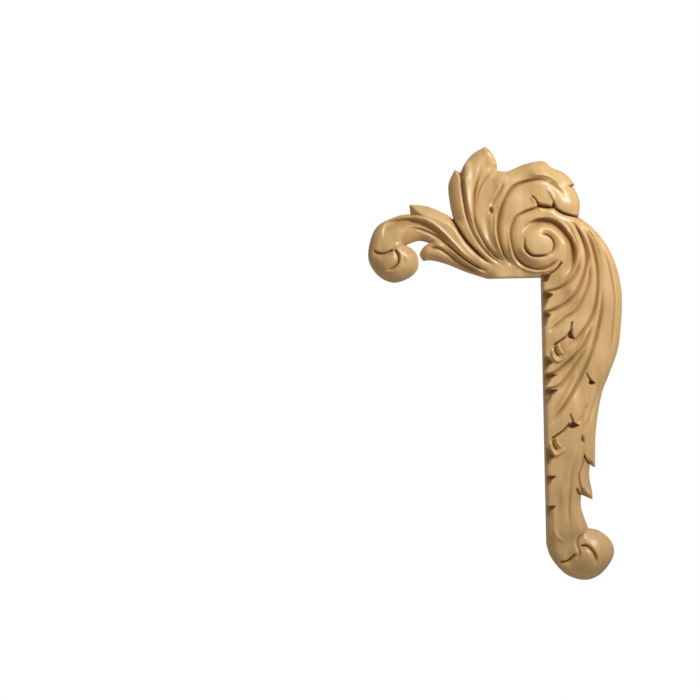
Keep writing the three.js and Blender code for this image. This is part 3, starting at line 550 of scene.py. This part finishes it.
# Painted shade and stain: the deeper a point is cut, the more of the brown it takes.
depth_read = tree.nodes.new("ShaderNodeAttribute")
depth_read.attribute_name = "hollow"
stain_and_shade_share = tree.nodes.new("ShaderNodeMapRange")
stain_and_shade_share.inputs["From Max"].default_value = FULL_STAIN_AND_SHADE_DEPTH
stain_and_shade_share.inputs["To Max"].default_value = MOST_STAIN_AND_SHADE
tree.links.new(depth_read.outputs["Fac"], stain_and_shade_share.inputs["Value"])
stain_and_shade_mix = tree.nodes.new("ShaderNodeMix")
stain_and_shade_mix.data_type = "RGBA"
stain_and_shade_mix.inputs["B"].default_value = STAIN_AND_SHADE_COLOUR
tree.links.new(stain_and_shade_share.outputs["Result"], stain_and_shade_mix.inputs["Factor"])
tree.links.new(tone.outputs["Color"], stain_and_shade_mix.inputs["A"])
tree.links.new(stain_and_shade_mix.outputs["Result"], shader.inputs["Base Color"])
carving.data.materials.append(wood)
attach(carving, "root")
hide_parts("corner_onlay")

# The floor: plain and pale, and well below the piece, because that is held up by its back and
# stands on nothing.
FLOOR_SIZE = 1.6
FLOOR_DROP = 0.25
bpy.ops.mesh.primitive_plane_add(size=FLOOR_SIZE, location=(0, 0, low_corner[2] - FLOOR_DROP))
floor = bpy.context.object
floor.name = "floor"
pale = bpy.data.materials.new("pale_floor")
pale.use_nodes = True
pale.node_tree.nodes["Principled BSDF"].inputs["Base Color"].default_value = (0.85, 0.85, 0.85, 1)
pale.node_tree.nodes["Principled BSDF"].inputs["Roughness"].default_value = 0.8
floor.data.materials.append(pale)

# The light: a dim warm room, white where it is seen past the piece, and one large soft lamp from the
# upper right in front.
ROOM_COLOUR = (0.34, 0.297, 0.243, 1)
LAMP_POWER = 1.1
LAMP_SIZE = 0.12
LAMP_PLACE = (0.145, -0.25, 0.16)
LAMP_AIM = Vector((0, 0, -0.03))
world = bpy.data.worlds.new("white_room")
world.use_nodes = True
sky = world.node_tree.nodes
sky["Background"].inputs["Color"].default_value = ROOM_COLOUR
seen = sky.new("ShaderNodeBackground")
rays = sky.new("ShaderNodeLightPath")
either = sky.new("ShaderNodeMixShader")
world.node_tree.links.new(rays.outputs["Is Camera Ray"], either.inputs["Fac"])
world.node_tree.links.new(sky["Background"].outputs["Background"], either.inputs[1])
world.node_tree.links.new(seen.outputs["Background"], either.inputs[2])
world.node_tree.links.new(either.outputs["Shader"], sky["World Output"].inputs["Surface"])
seen.inputs["Color"].default_value = (1, 1, 1, 1)
bpy.context.scene.world = world
lamp_data = bpy.data.lights.new("soft_lamp", "AREA")
lamp_data.energy = LAMP_POWER
lamp_data.size = LAMP_SIZE
lamp = bpy.data.objects.new("soft_lamp", lamp_data)
lamp.location = LAMP_PLACE
lamp.rotation_euler = (LAMP_AIM - lamp.location).to_track_quat("-Z", "Y").to_euler()
bpy.context.scene.collection.objects.link(lamp)
bpy.context.scene.view_settings.view_transform = "Standard"

# The camera: straight in front, rolled by the slight turn at which the piece was laid down, and with
# the piece to the right of the middle.
PICTURE_PX = 700
PIECE_CENTRE_PX = (497, 364.3)
MM_PER_PX = 0.4652
MM_PER_M = 1000
ROLL = math.radians(1.2)
CAMERA_DISTANCE = 0.9
SENSOR_WIDTH = 36
SCALE_PLANE_SHARE = 0.6
right = Vector((math.cos(ROLL), 0, -math.sin(ROLL)))
up = Vector((math.sin(ROLL), 0, math.cos(ROLL)))
px_right, px_down = (PICTURE_PX / 2 - at for at in PIECE_CENTRE_PX)
piece_centre = Vector((low_corner + high_corner) / 2)
centre = piece_centre + (right * px_right - up * px_down) * MM_PER_PX / MM_PER_M
camera_data = bpy.data.cameras.new("camera")
camera_data.sensor_width = SENSOR_WIDTH
camera_data.lens = SENSOR_WIDTH * CAMERA_DISTANCE / (PICTURE_PX * MM_PER_PX / MM_PER_M)
camera = bpy.data.objects.new("camera", camera_data)
scale_plane = high_corner[1] - SCALE_PLANE_SHARE * deep
turn = Matrix((right, up, (0, -1, 0))).transposed().to_4x4()
camera.matrix_world = Matrix.Translation((centre.x, scale_plane - CAMERA_DISTANCE, centre.z)) @ turn
bpy.context.scene.collection.objects.link(camera)
bpy.context.scene.camera = camera
